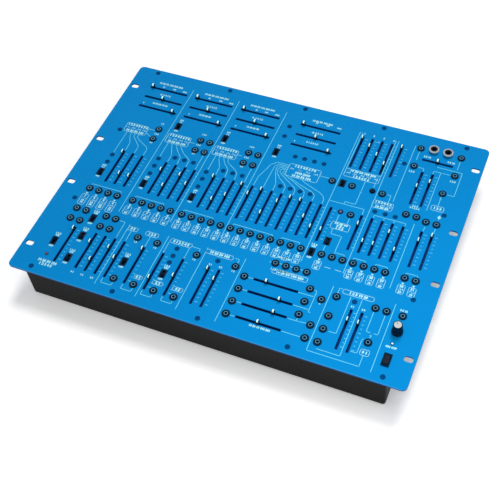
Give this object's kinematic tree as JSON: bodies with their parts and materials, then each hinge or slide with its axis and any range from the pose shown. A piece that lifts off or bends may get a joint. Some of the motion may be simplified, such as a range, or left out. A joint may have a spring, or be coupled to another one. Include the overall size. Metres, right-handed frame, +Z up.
{
  "type": "analog synthesizer",
  "caption": "Rack-mount analog synthesizer: a blue panel of sliding controls, patch sockets and switches on a shallow black tub.",
  "frame": {"origin": "centre of the foot plane, under the middle of the panel", "axes": "+X to the right along the panel, +Y to its far edge, +Z up out of the panel; the object lies on its feet"},
  "size_m": [0.4826, 0.3548, 0.0651],
  "materials": {
    "panel_blue": "satin",
    "tub_black": "satin",
    "board_green": "matte",
    "socket_black": "matte",
    "tank_steel": "satin",
    "socket_chrome": "polished",
    "switch_black": "satin",
    "slider_cap": "translucent, lit from below",
    "knob_silver": "turned"
  },
  "bodies": {
    "chassis": {"front_panel": "panel_blue", "rear_tub": "tub_black", "upper_control_board": "board_green", "middle_control_board": "board_green", "lower_control_board": "board_green", "rear_socket_board": "socket_black", "reverb_tank": "tank_steel", "left_output_socket": "socket_chrome", "right_output_socket": "socket_chrome", "power_switch_frame": "switch_black"},
    "oscillator_1_frequency_slider": {"oscillator_1_frequency_slider": "slider_cap"},
    "oscillator_1_fine_tune_slider": {"oscillator_1_fine_tune_slider": "slider_cap"},
    "oscillator_1_pulse_width_slider": {"oscillator_1_pulse_width_slider": "slider_cap"},
    "oscillator_2_frequency_slider": {"oscillator_2_frequency_slider": "slider_cap"},
    "oscillator_2_fine_tune_slider": {"oscillator_2_fine_tune_slider": "slider_cap"},
    "oscillator_2_pulse_width_slider": {"oscillator_2_pulse_width_slider": "slider_cap"},
    "oscillator_3_frequency_slider": {"oscillator_3_frequency_slider": "slider_cap"},
    "oscillator_3_fine_tune_slider": {"oscillator_3_fine_tune_slider": "slider_cap"},
    "oscillator_3_pulse_width_slider": {"oscillator_3_pulse_width_slider": "slider_cap"},
    "filter_frequency_slider": {"filter_frequency_slider": "slider_cap"},
    "filter_fine_tune_slider": {"filter_fine_tune_slider": "slider_cap"},
    "filter_resonance_slider": {"filter_resonance_slider": "slider_cap"},
    "processor_1_level_slider": {"processor_1_level_slider": "slider_cap"},
    "processor_2_level_slider": {"processor_2_level_slider": "slider_cap"},
    "processor_3_level_slider": {"processor_3_level_slider": "slider_cap"},
    "lag_time_slider": {"lag_time_slider": "slider_cap"},
    "pan_slider": {"pan_slider": "slider_cap"},
    "attack_slider": {"attack_slider": "slider_cap"},
    "decay_slider": {"decay_slider": "slider_cap"},
    "sustain_slider": {"sustain_slider": "slider_cap"},
    "release_slider": {"release_slider": "slider_cap"},
    "amplifier_gain_slider": {"amplifier_gain_slider": "slider_cap"},
    "left_output_slider": {"left_output_slider": "slider_cap"},
    "right_output_slider": {"right_output_slider": "slider_cap"},
    "noise_color_slider": {"noise_color_slider": "slider_cap"},
    "noise_level_slider": {"noise_level_slider": "slider_cap"},
    "input_gain_slider": {"input_gain_slider": "slider_cap"},
    "input_level_slider": {"input_level_slider": "slider_cap"},
    "follower_level_slider": {"follower_level_slider": "slider_cap"},
    "modulator_level_slider": {"modulator_level_slider": "slider_cap"},
    "clock_rate_slider": {"clock_rate_slider": "slider_cap"},
    "sample_level_slider": {"sample_level_slider": "slider_cap"},
    "oscillator_2_range_switch": {"oscillator_2_range_switch": "switch_black"},
    "oscillator_3_range_switch": {"oscillator_3_range_switch": "switch_black"},
    "filter_range_switch": {"filter_range_switch": "switch_black"},
    "oscillator_1_sync_switch": {"oscillator_1_sync_switch": "switch_black"},
    "oscillator_2_sync_switch": {"oscillator_2_sync_switch": "switch_black"},
    "oscillator_3_sync_switch": {"oscillator_3_sync_switch": "switch_black"},
    "envelope_gate_switch": {"envelope_gate_switch": "switch_black"},
    "follower_mode_switch": {"follower_mode_switch": "switch_black"},
    "envelope_repeat_switch": {"envelope_repeat_switch": "switch_black"},
    "input_gain_switch": {"input_gain_switch": "switch_black"},
    "input_range_switch": {"input_range_switch": "switch_black"},
    "input_source_switch": {"input_source_switch": "switch_black"},
    "noise_range_switch": {"noise_range_switch": "switch_black"},
    "modulator_coupling_switch": {"modulator_coupling_switch": "switch_black"},
    "clock_mode_switch": {"clock_mode_switch": "switch_black"},
    "phones_level_knob": {"phones_level_knob": "knob_silver"},
    "power_rocker": {"power_rocker": "switch_black"},
    "manual_gate_button": {"manual_gate_button": "switch_black"}
  },
  "joints": [
    {"name": "oscillator_1_frequency_slide", "type": "slide", "parent": "chassis", "child": "oscillator_1_frequency_slider", "axis": [1, 0, 0], "range_m": [0, 0.045]},
    {"name": "oscillator_1_fine_tune_slide", "type": "slide", "parent": "chassis", "child": "oscillator_1_fine_tune_slider", "axis": [1, 0, 0], "range_m": [-0.0225, 0.0225]},
    {"name": "oscillator_1_pulse_width_slide", "type": "slide", "parent": "chassis", "child": "oscillator_1_pulse_width_slider", "axis": [1, 0, 0], "range_m": [-0.045, 0]},
    {"name": "oscillator_2_frequency_slide", "type": "slide", "parent": "chassis", "child": "oscillator_2_frequency_slider", "axis": [1, 0, 0], "range_m": [0, 0.045]},
    {"name": "oscillator_2_fine_tune_slide", "type": "slide", "parent": "chassis", "child": "oscillator_2_fine_tune_slider", "axis": [1, 0, 0], "range_m": [-0.0225, 0.0225]},
    {"name": "oscillator_2_pulse_width_slide", "type": "slide", "parent": "chassis", "child": "oscillator_2_pulse_width_slider", "axis": [1, 0, 0], "range_m": [-0.045, 0]},
    {"name": "oscillator_3_frequency_slide", "type": "slide", "parent": "chassis", "child": "oscillator_3_frequency_slider", "axis": [1, 0, 0], "range_m": [0, 0.045]},
    {"name": "oscillator_3_fine_tune_slide", "type": "slide", "parent": "chassis", "child": "oscillator_3_fine_tune_slider", "axis": [1, 0, 0], "range_m": [-0.0225, 0.0225]},
    {"name": "oscillator_3_pulse_width_slide", "type": "slide", "parent": "chassis", "child": "oscillator_3_pulse_width_slider", "axis": [1, 0, 0], "range_m": [-0.045, 0]},
    {"name": "filter_frequency_slide", "type": "slide", "parent": "chassis", "child": "filter_frequency_slider", "axis": [1, 0, 0], "range_m": [0, 0.045]},
    {"name": "filter_fine_tune_slide", "type": "slide", "parent": "chassis", "child": "filter_fine_tune_slider", "axis": [1, 0, 0], "range_m": [-0.0225, 0.0225]},
    {"name": "filter_resonance_slide", "type": "slide", "parent": "chassis", "child": "filter_resonance_slider", "axis": [1, 0, 0], "range_m": [-0.045, 0]},
    {"name": "processor_1_level_slide", "type": "slide", "parent": "chassis", "child": "processor_1_level_slider", "axis": [1, 0, 0], "range_m": [-0.01125, 0.03375]},
    {"name": "processor_2_level_slide", "type": "slide", "parent": "chassis", "child": "processor_2_level_slider", "axis": [1, 0, 0], "range_m": [-0.03375, 0.01125]},
    {"name": "processor_3_level_slide", "type": "slide", "parent": "chassis", "child": "processor_3_level_slider", "axis": [1, 0, 0], "range_m": [-0.03375, 0.01125]},
    {"name": "lag_time_slide", "type": "slide", "parent": "chassis", "child": "lag_time_slider", "axis": [1, 0, 0], "range_m": [-0.0225, 0.0225]},
    {"name": "pan_slide", "type": "slide", "parent": "chassis", "child": "pan_slider", "axis": [1, 0, 0], "range_m": [-0.015, 0.015]},
    {"name": "attack_slide", "type": "slide", "parent": "chassis", "child": "attack_slider", "axis": [0, 1, 0], "range_m": [-0.045, 0]},
    {"name": "decay_slide", "type": "slide", "parent": "chassis", "child": "decay_slider", "axis": [0, 1, 0], "range_m": [-0.03375, 0.01125]},
    {"name": "sustain_slide", "type": "slide", "parent": "chassis", "child": "sustain_slider", "axis": [0, 1, 0], "range_m": [-0.0225, 0.0225]},
    {"name": "release_slide", "type": "slide", "parent": "chassis", "child": "release_slider", "axis": [0, 1, 0], "range_m": [-0.01125, 0.03375]},
    {"name": "amplifier_gain_slide", "type": "slide", "parent": "chassis", "child": "amplifier_gain_slider", "axis": [0, 1, 0], "range_m": [-0.045, 0]},
    {"name": "left_output_slide", "type": "slide", "parent": "chassis", "child": "left_output_slider", "axis": [0, 1, 0], "range_m": [-0.0225, 0.0225]},
    {"name": "right_output_slide", "type": "slide", "parent": "chassis", "child": "right_output_slider", "axis": [0, 1, 0], "range_m": [-0.03375, 0.01125]},
    {"name": "noise_color_slide", "type": "slide", "parent": "chassis", "child": "noise_color_slider", "axis": [0, 1, 0], "range_m": [-0.045, 0]},
    {"name": "noise_level_slide", "type": "slide", "parent": "chassis", "child": "noise_level_slider", "axis": [0, 1, 0], "range_m": [-0.03375, 0.01125]},
    {"name": "input_gain_slide", "type": "slide", "parent": "chassis", "child": "input_gain_slider", "axis": [0, 1, 0], "range_m": [-0.01125, 0.03375]},
    {"name": "input_level_slide", "type": "slide", "parent": "chassis", "child": "input_level_slider", "axis": [0, 1, 0], "range_m": [-0.03375, 0.01125]},
    {"name": "follower_level_slide", "type": "slide", "parent": "chassis", "child": "follower_level_slider", "axis": [0, 1, 0], "range_m": [-0.0225, 0.0225]},
    {"name": "modulator_level_slide", "type": "slide", "parent": "chassis", "child": "modulator_level_slider", "axis": [0, 1, 0], "range_m": [-0.045, 0]},
    {"name": "clock_rate_slide", "type": "slide", "parent": "chassis", "child": "clock_rate_slider", "axis": [0, 1, 0], "range_m": [-0.01125, 0.03375]},
    {"name": "sample_level_slide", "type": "slide", "parent": "chassis", "child": "sample_level_slider", "axis": [0, 1, 0], "range_m": [-0.0225, 0.0225]},
    {"name": "oscillator_2_range_throw", "type": "slide", "parent": "chassis", "child": "oscillator_2_range_switch", "axis": [0, 1, 0], "range_m": [-0.004, 0]},
    {"name": "oscillator_3_range_throw", "type": "slide", "parent": "chassis", "child": "oscillator_3_range_switch", "axis": [0, 1, 0], "range_m": [-0.004, 0]},
    {"name": "filter_range_throw", "type": "slide", "parent": "chassis", "child": "filter_range_switch", "axis": [0, 1, 0], "range_m": [-0.004, 0]},
    {"name": "oscillator_1_sync_throw", "type": "slide", "parent": "chassis", "child": "oscillator_1_sync_switch", "axis": [0, 1, 0], "range_m": [0, 0.004]},
    {"name": "oscillator_2_sync_throw", "type": "slide", "parent": "chassis", "child": "oscillator_2_sync_switch", "axis": [0, 1, 0], "range_m": [0, 0.004]},
    {"name": "oscillator_3_sync_throw", "type": "slide", "parent": "chassis", "child": "oscillator_3_sync_switch", "axis": [0, 1, 0], "range_m": [0, 0.004]},
    {"name": "envelope_gate_throw", "type": "slide", "parent": "chassis", "child": "envelope_gate_switch", "axis": [0, 1, 0], "range_m": [-0.004, 0]},
    {"name": "follower_mode_throw", "type": "slide", "parent": "chassis", "child": "follower_mode_switch", "axis": [0, 1, 0], "range_m": [0, 0.004]},
    {"name": "envelope_repeat_throw", "type": "slide", "parent": "chassis", "child": "envelope_repeat_switch", "axis": [0, 1, 0], "range_m": [-0.004, 0]},
    {"name": "input_gain_throw", "type": "slide", "parent": "chassis", "child": "input_gain_switch", "axis": [0, 1, 0], "range_m": [-0.004, 0]},
    {"name": "input_range_throw", "type": "slide", "parent": "chassis", "child": "input_range_switch", "axis": [0, 1, 0], "range_m": [0, 0.004]},
    {"name": "input_source_throw", "type": "slide", "parent": "chassis", "child": "input_source_switch", "axis": [0, 1, 0], "range_m": [0, 0.004]},
    {"name": "noise_range_throw", "type": "slide", "parent": "chassis", "child": "noise_range_switch", "axis": [0, 1, 0], "range_m": [-0.004, 0]},
    {"name": "modulator_coupling_throw", "type": "slide", "parent": "chassis", "child": "modulator_coupling_switch", "axis": [0, 1, 0], "range_m": [-0.004, 0]},
    {"name": "clock_mode_throw", "type": "slide", "parent": "chassis", "child": "clock_mode_switch", "axis": [0, 1, 0], "range_m": [0, 0.004]},
    {"name": "phones_level_turn", "type": "hinge", "parent": "chassis", "child": "phones_level_knob", "pos_m": [0.2112, -0.11163, 0.0496], "axis": [0, 0, 1], "range_deg": [-150, 150]},
    {"name": "power_rocker_tip", "type": "hinge", "parent": "chassis", "child": "power_rocker", "pos_m": [0.21095, -0.14859, 0.0492], "axis": [1, 0, 0], "range_deg": [-20, 0]},
    {"name": "manual_gate_press", "type": "slide", "parent": "chassis", "child": "manual_gate_button", "axis": [0, 0, -1], "range_m": [0, 0.0012], "stiffness_N_per_m": 40, "springref_m": -0.002}
  ]
}
